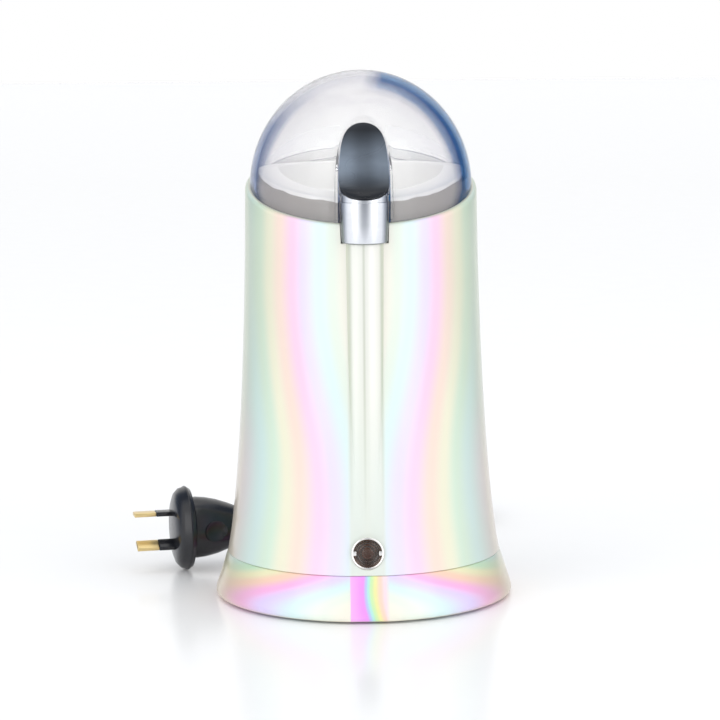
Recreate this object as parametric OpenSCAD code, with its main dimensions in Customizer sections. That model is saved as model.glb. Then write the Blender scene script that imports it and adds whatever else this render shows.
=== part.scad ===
// Electric blade grinder: tapered round housing, clear dome lid, thumb button
// at the front, motor and blade inside, lead and two-pin plug behind.
// Millimetres, +Z up, front towards -Y, origin on the floor under the axis.

/* [Housing] */
// Height of the seam between the base ring and the housing
seam_z = 17.5; // [17:0.25:18]
// Height of the housing's top rim at its sides
rim_z = 161; // [160:0.5:162]
// Rise of the rim for each millimetre towards the back
rim_slope = 0.28; // [0.26:0.01:0.29]
// Wall thickness of the housing
wall = 2.2; // [2:0.1:2.4]
// Largest radius of the base ring
base_r = 58.2; // [58:0.1:59]

/* [Lid] */
// Height of the top of the lid
lid_top_z = 205; // [203:1:208]
// Outer radius of the lid
lid_r = 43; // [42.8:0.1:43.2]
// Wall thickness of the lid
lid_wall = 2.2; // [2:0.1:2.4]

/* [Button] */
// Distance of the button's axis from the housing's axis
button_y = 42.8; // [42.6:0.1:43]
// Outer radius of the button above its sleeve
button_r = 9.45; // [9.4:0.01:9.5]
// How far the button travels
button_travel = 2.2; // [1.5:0.1:2.2]
// Height of the line between the sleeve and the button
button_z = 157.5; // [157:0.5:158]
// Radius of the rib that covers the push rod
rib_r = 7.2; // [7:0.1:7.4]

/* [Bowl and motor] */
// Outer radius of the steel bowl
bowl_r = 31.5; // [31:0.1:31.6]
// Underside of the bowl's floor
bowl_z = 115; // [114.8:0.1:115.2]
// Radius of the motor shaft
shaft_r = 3; // [2.8:0.1:3]

/* [Hidden] */
$fn = 96;
eps = 0.01;
deck_z = 106;
deck_t = 3;
rod_r = 2;
lamp_z = 26;
lamp_y = 51.9;
facet_depth = 0.43;
post_x = 25;
post_y = 19;
stator_z = [60, 86];
cord_r = 3;
dome_z = 160;
coil_at = [20, 140];
relief_z = 10;
plug_at = [-72.7, 44, 17.3];
plug_turn = 12;
stem_r = 7.6;
guided_r = 9.1;
dish_t = 1.4;

// ---- shared shapes ----
function bezier(p, t) = pow(1 - t, 3) * p[0] + 3 * pow(1 - t, 2) * t * p[1]
    + 3 * (1 - t) * t * t * p[2] + pow(t, 3) * p[3];
side_curve = [[53.4, seam_z], [48, 46], [45.2, 112], [44.9, rim_z]];
side_steps = 14;
// Half outline of the housing's side, moved inwards by inset
function side(inset) = concat(
    [for (i = [0:side_steps]) bezier(side_curve, i / side_steps) - [inset, 0]],
    [[44.4 - inset, 180]]);

module tube(r_out, r_in, z0, z1) {
    translate([0, 0, z0]) difference() {
        cylinder(r = r_out, h = z1 - z0);
        translate([0, 0, -1]) cylinder(r = r_in, h = z1 - z0 + 2);
    }
}
module rod(r, z0, z1) translate([0, 0, z0]) cylinder(r = r, h = z1 - z0);
module block(x, y, z) translate([x[0], y[0], z[0]])
    cube([x[1] - x[0], y[1] - y[0], z[1] - z[0]]);
// Everything above a plane that rises towards the back
module above(z, slope) translate([0, 0, z]) rotate([atan(slope), 0, 0])
    translate([-100, -100, 0]) cube([200, 200, 120]);
module at_button() translate([0, -button_y, 0]) children();
// A shape drawn along +Z, laid along -Y and centred on the lamp
module at_lamp() translate([0, 0, lamp_z]) rotate([90, 0, 0]) children();
module at_plug() translate(plug_at) rotate([0, 0, plug_turn])
    rotate([0, -90, 0]) children();
module four(x, y) for (sx = [-1, 1], sy = [-1, 1])
    translate([sx * x, sy * y, 0]) children();
module around(n, r, first) for (i = [0:n - 1])
    rotate([0, 0, first + i * 360 / n]) translate([r, 0, 0]) children();
// Flat band down the front: all that stands in front of the facet
module facet_cut(outline, z0, z1) intersection() {
    block([-12, 12], [-80, -30], [z0, z1]);
    rotate([90, 0, 90]) translate([0, 0, -12]) linear_extrude(24)
        polygon(concat([for (p = outline) [facet_depth - p[0], p[1]]],
            [[-90, outline[len(outline) - 1][1]], [-90, outline[0][1]]]));
}

// ---- housing ----
ring_outline = [[base_r - 1, 0.8], [base_r, 2.2], [base_r - 0.2, 3.8],
    [base_r - 1.4, 7.4], [base_r - 3, 12.2], [53.4, seam_z]];
module base_ring() color("mistyrose") difference() {
    rotate_extrude() polygon(concat(ring_outline,
        [[50.9, seam_z], [52.4, 4.5], [54.5, 4.5], [54.5, 0.8]]));
    facet_cut(ring_outline, -1, seam_z + 1);
    translate([0, 40, relief_z]) rotate([-90, 0, 0]) cylinder(r = 5.1, h = 30);
}
module body_shell() color("ghostwhite") difference() {
    union() {
        rotate_extrude() difference() {
            polygon(concat([[0, seam_z]], side(0), [[0, 180]]));
            polygon(concat([[0, seam_z - 1]], side(wall), [[0, 190]]));
        }
        at_button() rod(rib_r, 26, 142);
        tube(50.5, 48.5, 12, 24);
        tube(44, 40, deck_z - 3, deck_z);
        around(4, 45.8, 22.5) rod(3.2, 4.5, 19);
    }
    // hollow of the rib, open to the inside
    at_button() rod(rib_r - wall, 30, 139.5);
    at_button() rod(rod_r + 0.3, 130, 150);
    at_button() rod(9.2, 142, 200);
    block([-2.6, 2.6], [-42.8, -39], [deck_z - 8, deck_z + 1]);
    // clears the rib's back inside the collar space
    rod(42.65, deck_z, 200);
    rod(39.9, 26, deck_z);
    above(rim_z, rim_slope);
    facet_cut(side(0), 0, 42);
    at_lamp() rod(5.9, 40, 60);
    at_lamp() rod(6.3, lamp_y, 60);
    // room for the micro switch and the strain relief
    block([-9.3, 9.3], [-42.3, -30], [83.5, 97]);
    block([-6.8, 6.8], [44, 52], [11, 17]);
    around(4, 45.8, 22.5) rod(1.4, 0, 16);
}
module base_plate() color("dimgray") difference() {
    rod(54.3, 2, 4.5);
    around(4, 43.5, 50) rod(2.6, 0, 10);
    around(4, 45.8, 22.5) rod(1.7, 0, 10);
    for (i = [-3:3]) block([-22, 22], [i * 6 - 1.2, i * 6 + 1.2], [0, 6]);
}
module rubber_feet() color("black") around(4, 43.5, 50) {
    rod(6, 0, 2);
    rod(2.5, 1.9, 4.6);
    rod(3.3, 4.5, 5.6);
}
module base_screws() color("silver") around(4, 45.8, 22.5) {
    rod(2.8, 0.8, 2);
    rod(1.35, 1.9, 14);
}

// ---- lid ----
// Solid dome with an upright skirt
module dome(r, top) rotate_extrude() polygon(concat([[0, 130], [r, 130]],
    [for (a = [0:5:85]) [r * cos(a), dome_z + (top - dome_z) * sin(a)]], [[0, top]]));
module clear_lid() color("lightsteelblue", 0.4) difference() {
    union() {
        difference() {
            dome(lid_r, lid_top_z);
            dome(lid_r - lid_wall, lid_top_z - lid_wall);
        }
        // locating lip inside the rim
        difference() {
            rod(42.35, 140, 172);
            rod(40.6, 130, 180);
            above(rim_z + 0.6, rim_slope);
        }
        // pocket wall around the button
        intersection() {
            at_button() rod(11.4, 146, 200);
            dome(lid_r, lid_top_z);
        }
    }
    at_button() rod(9.85, 130, 220);
    // nothing below the rim outside the lip, or below the lip
    difference() {
        rod(60, 100, 180);
        rod(42.35, 90, 190);
        above(rim_z + 0.2, rim_slope);
    }
    difference() {
        rod(60, 100, 180);
        above(rim_z - 3.8, rim_slope);
    }
    // room for the bowl collar inside the pocket wall
    rod(39.9, 120, 168.5);
}

// ---- bowl, blade ----
module bowl_collar() color("gray") difference() {
    union() {
        tube(39.5, 31.8, deck_z + deck_t, 175);
        tube(35, 22, deck_z + deck_t, bowl_z);
    }
    above(169, rim_slope);
    rod(50, 168, 180);
    at_button() rod(9.85, 141.5, 200);
    around(3, 30, 0) rod(1.5, 100, 113);
}
module grinding_bowl() color("silver") difference() {
    union() {
        rod(bowl_r, bowl_z, 157);
        rod(bowl_r - 4, bowl_z, bowl_z + 1);
    }
    rod(bowl_r - 0.8, bowl_z + 0.8, 160);
    rod(7, 100, 120);
}
module shaft_seal() color("black") difference() {
    union() {
        rod(6.9, 110, 118);
        rod(9, bowl_z + 0.8, 117);
    }
    rod(shaft_r + 0.08, 100, 120);
}
module blade() color("silver") difference() {
    union() {
        rod(6, 118.4, 121.2);
        for (pitch = [-6, 6]) rotate([0, 0, pitch < 0 ? 0 : 180])
            translate([0, 0, 119]) rotate([pitch, 0, 0]) linear_extrude(1.5)
                polygon([[0, -5], [22, -4.6], [27, 3], [25.5, 5], [0, 5]]);
    }
    rod(2.5, 100, 130);
}
module blade_nut() color("silver") difference() {
    union() {
        translate([0, 0, 121.2]) cylinder(r = 5, h = 3.8, $fn = 6);
        rod(3.8, 124.9, 127);
    }
    rod(2.5, 120, 126);
}

// ---- deck and motor ----
module motor_deck() color("gainsboro") difference() {
    union() {
        rod(42.4, deck_z, deck_z + deck_t);
        rod(11, 103.5, deck_z + eps);
    }
    rod(8, 90, 120);
    block([-3, 3], [-50, -38.5], [100, 112]);
    around(3, 30, 0) rod(1.7, 100, 112);
    around(3, 41.05, 90) rod(0.7, 100, 112);
    four(12, 12) rod(1.7, 100, 112);
}
module deck_screws() color("silver") around(3, 41.05, 90) {
    rod(1.2, deck_z + deck_t, deck_z + deck_t + 1);
    rod(0.6, deck_z, deck_z + deck_t + 0.5);
}
module collar_screws() color("silver") around(3, 30, 0) {
    rod(2.8, deck_z - 2, deck_z);
    rod(1.4, deck_z - 1, 112.5);
}
module motor_dampers() color("black") four(12, 12) tube(3.4, 1.7, 103, deck_z);
module damper_screws() color("silver") four(12, 12) {
    rod(2.8, deck_z + deck_t, deck_z + deck_t + 1.8);
    rod(1.5, 99.5, deck_z + deck_t + 1);
    rod(2.8, 97.8, 100);
}
module bracket_plate(z0, z1, hole) difference() {
    block([-29, 29], [-23, 23], [z0, z1]);
    rod(hole, z0 - 1, z1 + 1);
    four(post_x, post_y) rod(1.7, z0 - 1, z1 + 1);
}
module upper_motor_bracket() color("silver") {
    difference() {
        bracket_plate(100, 103, 11.5);
        four(12, 12) rod(1.7, 99, 104);
    }
    four(post_x, post_y) tube(3.2, 1.7, stator_z[1], 100 + eps);
}
module lower_motor_bracket() color("silver") {
    bracket_plate(39, 41.5, 8.6);
    tube(11, 8.6, 30, 40);
    tube(11, 4, 30, 32);
    four(post_x, post_y) tube(3.2, 1.7, 41.5 - eps, stator_z[0]);
}
module motor_screws() color("silver") four(post_x, post_y) {
    rod(1.5, 37, 105);
    rod(2.8, 36.8, 39);
    rod(2.8, 103, 105.4);
}
module motor_stator() color("dimgray") difference() {
    block([-29, 29], [-23, 23], stator_z);
    rod(14.6, 50, 90);
    for (s = [-1, 1]) translate([s * 19.2, 0, 0])
        block([-3.4, 3.4], [-11, 11], [50, 90]);
    four(post_x, post_y) rod(1.7, 50, 90);
}
module field_coils() color("chocolate") for (s = [-1, 1])
    translate([s * 19.2, 0, 0]) block([-3.3, 3.3], [-10.8, 10.8], [56.5, 89.5]);
module motor_shaft() color("silver") {
    rod(shaft_r, 33, 118.4);
    rod(2.5, 118.3, 126);
}
module armature_core() color("gray") difference() {
    rod(14, 61, 85);
    rod(shaft_r, 50, 90);
    around(12, 12.4, 0) rod(1.2, 50, 90);
}
module armature_windings() color("peru") {
    tube(12.4, shaft_r, 56, 61);
    tube(12.4, shaft_r, 85, 89.5);
}
module commutator() color("orange") difference() {
    tube(8, shaft_r, 43, 55);
    around(12, 8, 15) translate([-0.6, -0.2, 42]) cube([1.2, 0.4, 10]);
}
module cooling_fan() color("black") {
    tube(6, shaft_r, 91, 98);
    around(8, 0, 0) translate([5, -0.6, 91.5]) cube([12.5, 1.2, 6]);
    tube(18, 5.9, 91, 92);
}
module upper_bearing() color("goldenrod") tube(8, shaft_r + 0.05, 103.5, 109);
module lower_bearing() color("goldenrod") tube(8.6, shaft_r + 0.05, 32, 38.5);
module brush_holders() color("orange") for (a = [0, 180])
    rotate([0, 0, a]) difference() {
        block([8.8, 25], [-4, 4], [41.5, 53]);
        block([8, 23.5], [-3, 3], [44.5, 51.5]);
    }
module carbon_brushes() color("black") for (a = [0, 180]) rotate([0, 0, a])
    block([8.15, 18], [-2.9, 2.9], [44.6, 51.4]);
module brush_springs() color("silver") for (a = [0, 180]) rotate([0, 0, a])
    translate([18, 0, 48]) rotate([0, 90, 0]) tube(2.4, 1.7, 0, 5.5);

// ---- push button ----
// Edge of the thumb rest seen from the side, from front to back
dish_curve = [[-9.6, 159.1], [5, 163.6], [0, 177], [9.6, 186.5]];
dish_steps = 16;
// Everything above that edge, lowered by drop
module above_dish(drop) at_button() rotate([90, 0, 90]) translate([0, 0, -15])
    linear_extrude(30) polygon(concat([[-12, 158.4 - drop]],
        [for (i = [0:dish_steps]) bezier(dish_curve, i / dish_steps) - [0, drop]],
        [[12, 188.9 - drop], [12, 210], [-12, 210]]));
// Outside of the button: a guided lower part and a wider top
module button_solid(inset) at_button() {
    rod(guided_r - inset, button_z - 0.2, 160.01);
    rod(button_r - inset, 160, 190);
}
module button_sleeve() color("silver") at_button() difference() {
    translate([0, 0, 142]) cylinder(r1 = 8.85, r2 = 9.5, h = button_z - 142.1);
    rod(guided_r + 0.1, button_z - 0.3 - button_travel, 170);
    rod(stem_r + 0.3, 144, 170);
    rod(rod_r + 0.05, 140, 150);
}
// The button above its line: skirt, stem and a top cut to a hollow slope
module button_cap() color("silver") difference() {
    union() {
        button_solid(0);
        at_button() rod(stem_r, 150, 158);
    }
    above_dish(dish_t);
    at_button() rod(rod_r, 149, 158);
}
module thumb_dish() color("darkslategray") intersection() {
    difference() {
        button_solid(0.1);
        above_dish(0);
    }
    above_dish(dish_t);
}
module push_rod() color("gainsboro") at_button() {
    rod(rod_r, 102, 158);
    rod(2.2, 100, 102.1);
}
module button_spring() color("silver") at_button() tube(5, 4.2, 144, 150);
module microswitch() color("black") difference() {
    block([-9, 9], [-42, -33], [84, 96]);
    translate([0, -41, 0]) rod(0.9, 92, 100);
    for (s = [-1, 1]) translate([s * 6, 0, 90]) rotate([90, 0, 0]) rod(1.3, 20, 60);
}
module switch_plunger() color("red") translate([0, -41, 0]) rod(0.8, 93, 97.2);
module switch_bracket() color("silver") {
    block([-10, 10], [-33, -31.6], [84, deck_z]);
    block([-10, 10], [-33, -26], [deck_z - 1.4, deck_z]);
}
module interlock_guide() color("black") translate([0, 41.1, 0]) difference() {
    block([-4, 4], [-1.35, 1.35], [148, 158]);
    rod(0.95, 140, 160);
}
module interlock_pin() color("white") translate([0, 41.1, 0]) rod(0.9, 150, 168.2);

// ---- pilot lamp ----
module lamp_bezel() color("silver") at_lamp() {
    tube(6.2, 4.9, lamp_y, lamp_y + 0.7);
    tube(5.85, 5, 44, lamp_y + eps);
}
module lamp_lens() color("saddlebrown", 0.7) at_lamp() rod(4.85, 49.5, lamp_y + 0.4);
module lamp_reflector() color("white") at_lamp() difference() {
    rod(4.85, 44, 49.5);
    rod(2.4, 40, 60);
}
module pilot_led() color("orange") at_lamp() rod(2.3, 42, 48.5);

// ---- mains lead ----
module terminal_block() color("white") difference() {
    block([-14, 14], [28, 36], [4.5, 14]);
    for (s = [-1, 0, 1]) translate([s * 8, 32, 0]) rod(2, 8, 20);
}
module cord_clamp() color("black") {
    block([-9, 9], [40, 46], [4.5, 7]);
    block([-9, 9], [40, 46], [13, 15.5]);
    for (s = [-1, 1]) translate([s * 7, 43, 0]) rod(1.5, 6.9, 13.1);
}
module strain_relief() color("black") translate([0, 0, relief_z]) rotate([-90, 0, 0]) {
    intersection() {
        rod(6.5, 48, 50.2);
        block([-7, 7], [-7, 5.4], [47, 51]);
    }
    rod(5, 50.1, 58);
    translate([0, 0, 58]) cylinder(r1 = 5, r2 = 3.6, h = 22);
}
lead_route = [[0, 80, 10], [0, 85, 9], [-0.5, 90, 7.2], [-1.5, 95, 5.4],
    [-3, 100, 4.1], [-5.5, 106, 3.2], [-8, 112, 3], [-11, 119, 3],
    [-13.5, 127, 3], [-15.5, 134, 3], [-16, 140, 3]];
tail_route = [[20, 104, 9], [14, 103.4, 9.4], [8, 101.6, 10.3],
    [3, 98.8, 11.3], [-1, 95.4, 12], [-5, 90.6, 11.6], [-8, 85, 9.9],
    [-10, 79.5, 7.8], [-11.5, 74, 7], [-14, 67.5, 7.6], [-18, 61, 9.6],
    [-23.5, 56, 12.2], [-30, 53, 15], [-35, 51.8, 16.6], [-39.4, 51.1, 17.3]];
// Direction of travel at point i of a route
function heading(p, i) = let (d = p[min(i + 1, len(p) - 1)] - p[max(i - 1, 0)]) d / norm(d);
function across(d) = let (s = cross(d, [0, 0, 1])) s / norm(s);
// Tube of radius r swept along a route, with ten sides
module swept(p, r, n = 10) {
    rings = [for (i = [0:len(p) - 1]) let (d = heading(p, i), s = across(d), u = cross(s, d))
        for (k = [0:n - 1]) p[i] + r * (cos(k * 360 / n) * s + sin(k * 360 / n) * u)];
    last = (len(p) - 1) * n;
    polyhedron(rings, concat(
        [for (i = [0:len(p) - 2], k = [0:n - 1]) let (a = i * n + k, b = i * n + (k + 1) % n)
            [a, b, b + n, a + n]],
        [[for (k = [n - 1:-1:0]) k], [for (k = [0:n - 1]) last + k]]));
}
module cord_lead() color("black") swept(lead_route, cord_r);
module cord_tail() color("black") swept(tail_route, cord_r);
module cord_coil() color("black") translate([coil_at[0], coil_at[1], 0])
    rotate_extrude() translate([27, 0]) square([12, 12]);

// ---- plug, along +Z of its own frame from the tail to the pins ----
// One flat pin above and one below, each turned about its own length
module at_pins() at_plug() for (s = [-1, 1])
    translate([s * 5.9, s * 3.4, 0]) rotate([0, 0, s < 0 ? 65 : 90]) children();
module plug_body() color("black") difference() {
    at_plug() {
        rotate_extrude() polygon([[0, -28.1], [5, -28.1], [7.6, -21], [10.4, -15.5],
            [12.2, -10], [12.7, -4], [12.9, -3], [16.4, -2.6], [17.2, -1],
            [17.2, 0.6], [15.2, 3], [11, 4.6], [0, 5]]);
        translate([0, 0, -34]) cylinder(r1 = 3.5, r2 = 4.6, h = 6);
    }
    at_pins() block([-2.9, 2.9], [-0.9, 0.9], [4, 11]);
}
module pin_sleeves() color("black") at_pins() block([-2.9, 2.9], [-0.9, 0.9], [4, 11]);
module plug_pins() color("goldenrod") at_pins() block([-2.8, 2.8], [-0.8, 0.8], [11, 20]);

clear_lid();
bowl_collar();
grinding_bowl();
blade();
blade_nut();
shaft_seal();
body_shell();
base_ring();
base_plate();
rubber_feet();
base_screws();
motor_deck();
deck_screws();
collar_screws();
motor_dampers();
damper_screws();
upper_motor_bracket();
lower_motor_bracket();
motor_screws();
motor_stator();
field_coils();
motor_shaft();
armature_core();
armature_windings();
commutator();
cooling_fan();
upper_bearing();
lower_bearing();
brush_holders();
carbon_brushes();
brush_springs();
button_sleeve();
button_cap();
thumb_dish();
push_rod();
button_spring();
microswitch();
switch_plunger();
switch_bracket();
interlock_guide();
interlock_pin();
lamp_bezel();
lamp_lens();
lamp_reflector();
pilot_led();
terminal_block();
cord_clamp();
strain_relief();
cord_lead();
cord_coil();
cord_tail();
plug_body();
plug_pins();
pin_sleeves();
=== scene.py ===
"""Looks of an electric blade grinder: pearl housing, clear dome lid, thumb button, lamp and lead.

Lengths in the classes are millimetres, as on a workshop drawing. Pieces are scaled to metres as
they are made. The front faces -Y and the floor is at Z = 0.
"""
import logging
import math
from collections.abc import Callable, Iterable, Sequence
from contextlib import contextmanager
from dataclasses import dataclass, field
from enum import Enum

import bmesh
import bpy
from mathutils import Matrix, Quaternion, Vector


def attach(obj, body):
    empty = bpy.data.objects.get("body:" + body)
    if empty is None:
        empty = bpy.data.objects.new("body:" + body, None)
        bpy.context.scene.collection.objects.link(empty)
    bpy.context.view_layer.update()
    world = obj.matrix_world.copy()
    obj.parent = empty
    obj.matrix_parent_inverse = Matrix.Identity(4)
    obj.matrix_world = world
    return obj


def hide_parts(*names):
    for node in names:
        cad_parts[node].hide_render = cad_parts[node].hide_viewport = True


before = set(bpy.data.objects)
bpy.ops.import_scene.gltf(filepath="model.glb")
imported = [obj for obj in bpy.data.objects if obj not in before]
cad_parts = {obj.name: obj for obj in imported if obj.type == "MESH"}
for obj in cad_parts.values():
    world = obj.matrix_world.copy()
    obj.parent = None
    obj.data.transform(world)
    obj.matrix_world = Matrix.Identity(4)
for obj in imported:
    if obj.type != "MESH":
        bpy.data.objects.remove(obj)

MM = 0.001
TAU = math.tau
Point2 = tuple[float, float]
Point3 = tuple[float, float, float]
Colour = tuple[float, float, float]
Stops = tuple[tuple[float, Colour], ...]
log = logging.getLogger("grinder")
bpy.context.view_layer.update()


# ---------------------------------------------------------------- bench tools
def deselect_all() -> None:
    """Leave edit mode and drop every selection."""
    if bpy.context.object and bpy.context.object.mode != "OBJECT":
        bpy.ops.object.mode_set(mode="OBJECT")
    bpy.ops.object.select_all(action="DESELECT")


def pick(piece: bpy.types.Object) -> bpy.types.Object:
    """Make one piece the only selected and active one."""
    deselect_all()
    piece.select_set(True)
    bpy.context.view_layer.objects.active = piece
    return piece


@contextmanager
def editing(piece: bpy.types.Object, mode: str = "EDGE") -> Iterable[bmesh.types.BMesh]:
    """Edit mode on a piece with nothing selected.

    Args:
        piece: The mesh object to edit.
        mode: VERT, EDGE or FACE.

    Returns:
        The edit mesh, whose elements can be selected by place.
    """
    pick(piece)
    bpy.ops.object.mode_set(mode="EDIT")
    bpy.ops.mesh.select_mode(type=mode)
    bpy.ops.mesh.select_all(action="DESELECT")
    mesh = bmesh.from_edit_mesh(piece.data)
    yield mesh
    bpy.ops.object.mode_set(mode="OBJECT")


def settle(piece: bpy.types.Object, angle: float = 32.0) -> bpy.types.Object:
    """Apply a piece's place and shade it smooth up to an angle in degrees."""
    pick(piece)
    bpy.ops.object.transform_apply(location=True, rotation=True, scale=True)
    bpy.ops.object.shade_smooth_by_angle(angle=math.radians(angle))
    return piece


def reshape(piece: bpy.types.Object, move: Callable[[Vector], Point3]) -> bpy.types.Object:
    """Move every vertex of a piece by a rule in millimetres.

    Args:
        piece: The mesh object.
        move: Takes a vertex in millimetres and returns its new place.

    Returns:
        The same piece.
    """
    for vertex in piece.data.vertices:
        vertex.co = Vector(move(vertex.co / MM)) * MM
    return piece


def lathe(name: str, outline: Sequence[Point2], steps: int = 96, closed: bool = True,
          centre: Point2 = (0.0, 0.0)) -> bpy.types.Object:
    """Turn an outline of (radius, height) round an upright axis.

    Args:
        name: The new piece's name.
        outline: Points in millimetres, in order.
        steps: Divisions round the axis.
        closed: True for a ring, whose last point joins the first.
        centre: Where the axis stands.

    Returns:
        A closed mesh with its faces outwards.
    """
    deselect_all()
    points = list(outline) + ([outline[0]] if closed else [])
    x, y = centre
    bpy.ops.mesh.primitive_plane_add(size=MM)
    piece = bpy.context.object
    piece.name = name
    bpy.ops.object.mode_set(mode="EDIT")
    bpy.ops.mesh.select_mode(type="VERT")
    bpy.ops.mesh.select_all(action="SELECT")
    bpy.ops.mesh.merge(type="CENTER")
    first = Vector((x + points[0][0], y, points[0][1])) * MM
    bpy.ops.transform.translate(value=first)
    for before, after in zip(points, points[1:]):
        step = Vector((after[0] - before[0], 0, after[1] - before[1])) * MM
        bpy.ops.mesh.extrude_vertices_move(TRANSFORM_OT_translate={"value": step})
    bpy.ops.mesh.select_all(action="SELECT")
    bpy.ops.mesh.spin(steps=steps, angle=TAU, center=(x * MM, y * MM, 0), axis=(0, 0, 1))
    bpy.ops.mesh.select_all(action="SELECT")
    bpy.ops.mesh.remove_doubles(threshold=1e-6)
    bpy.ops.mesh.normals_make_consistent(inside=False)
    bpy.ops.object.mode_set(mode="OBJECT")
    return piece


def post(radius: float, low: float, high: float, centre: Point2 = (0.0, 0.0),
         steps: int = 64) -> bpy.types.Object:
    """A plain upright cylinder, for use as a tool.

    Args:
        radius: Its radius in millimetres.
        low: Height of its foot.
        high: Height of its top.
        centre: Where its axis stands.
        steps: Divisions round the axis.

    Returns:
        The cylinder.
    """
    return lathe("post", [(0, low), (radius, low), (radius, high), (0, high)], steps, False, centre)


def lay_down(piece: bpy.types.Object, height: float, way: int) -> bpy.types.Object:
    """Lay a piece made round the Z axis along the Y axis.

    Args:
        piece: The piece.
        height: Height of its axis once it lies, in millimetres.
        way: 1 to point it backwards, -1 forwards.

    Returns:
        The piece.
    """
    return reshape(piece, lambda v: (v.x, way * v.z, height - way * v.y))


def arc(centre: Point2, radius: float, start: float, end: float, count: int = 5) -> list[Point2]:
    """Points along an arc, with its angles in degrees."""
    turns = [math.radians(start + (end - start) * i / count) for i in range(count + 1)]
    return [(centre[0] + radius * math.cos(t), centre[1] + radius * math.sin(t)) for t in turns]


def rounded_bar(name: str, low: Point3, high: Point3, edge: float) -> bpy.types.Object:
    """A bar between two corners with its edges rounded.

    Args:
        name: The new piece's name.
        low: Lowest corner in millimetres.
        high: Highest corner.
        edge: Radius of the rounding.

    Returns:
        The piece.
    """
    deselect_all()
    middle = [(a + b) / 2 * MM for a, b in zip(low, high)]
    bpy.ops.mesh.primitive_cube_add(size=1, location=middle)
    piece = bpy.context.object
    piece.name = name
    piece.scale = [(b - a) * MM for a, b in zip(low, high)]
    bpy.ops.object.transform_apply(location=True, rotation=True, scale=True)
    with editing(piece):
        bpy.ops.mesh.select_all(action="SELECT")
        bpy.ops.mesh.bevel(offset=edge * MM, segments=3, affect="EDGES")
    return piece


class Join(Enum):
    """How one solid acts on another."""

    CUT = "DIFFERENCE"
    ADD = "UNION"


def work(piece: bpy.types.Object, tool: bpy.types.Object, how: Join) -> bpy.types.Object:
    """Cut a tool's shape from a piece or weld it on, and use the tool up.

    Args:
        piece: The piece that is kept.
        tool: The solid that is used.
        how: Cut or add.

    Returns:
        The piece.
    """
    pick(piece)
    step = piece.modifiers.new("work", "BOOLEAN")
    step.operation, step.solver, step.object = how.value, "EXACT", tool
    bpy.ops.object.modifier_apply(modifier=step.name)
    bpy.data.objects.remove(tool, do_unlink=True)
    return piece


def trim(piece: bpy.types.Object, height: float, slope: float = 0.0, above: bool = True,
         close: bool = False) -> None:
    """Remove what stands on one side of a plane that rises towards the back.

    Args:
        piece: The piece to cut.
        height: Height of the plane on the axis, in millimetres.
        slope: Its rise for each millimetre towards the back.
        above: True to remove what is above the plane, False for what is below.
        close: True to close the cut.
    """
    with editing(piece):
        bpy.ops.mesh.select_all(action="SELECT")
        bpy.ops.mesh.bisect(plane_co=(0, 0, height * MM), plane_no=(0, -slope, 1),
                            use_fill=close, clear_outer=above, clear_inner=not above)


def bridge_open_ends(piece: bpy.types.Object) -> None:
    """Close a trimmed ring between its two open loops."""
    with editing(piece):
        bpy.ops.mesh.select_non_manifold()
        bpy.ops.mesh.bridge_edge_loops()


def round_rim(piece: bpy.types.Object, top: Callable[[float], float], reach: Point2,
              edge: float) -> None:
    """Round one edge of a rim.

    Args:
        piece: The ring.
        top: Height of the rim at a place from front to back.
        reach: Least and greatest distance of the edge from the axis.
        edge: Radius of the rounding.
    """
    with editing(piece) as mesh:
        for side in mesh.edges:
            ends = [v.co / MM for v in side.verts]
            level = all(abs(v.z - top(v.y)) < 0.01 for v in ends)
            side.select = level and all(reach[0] < math.hypot(v.x, v.y) < reach[1] for v in ends)
        bpy.ops.mesh.bevel(offset=edge * MM, segments=4, affect="EDGES")


def smooth_step(value: float) -> float:
    """Ease from 0 to 1."""
    t = min(1.0, max(0.0, value))
    return t * t * (3 - 2 * t)


def bezier(curve: Sequence[Point2], t: float) -> Point2:
    """The point on a cubic curve of four points at a share of its course."""
    weights = ((1 - t) ** 3, 3 * (1 - t) ** 2 * t, 3 * (1 - t) * t * t, t ** 3)
    return tuple(sum(w * p[axis] for w, p in zip(weights, curve)) for axis in (0, 1))


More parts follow.
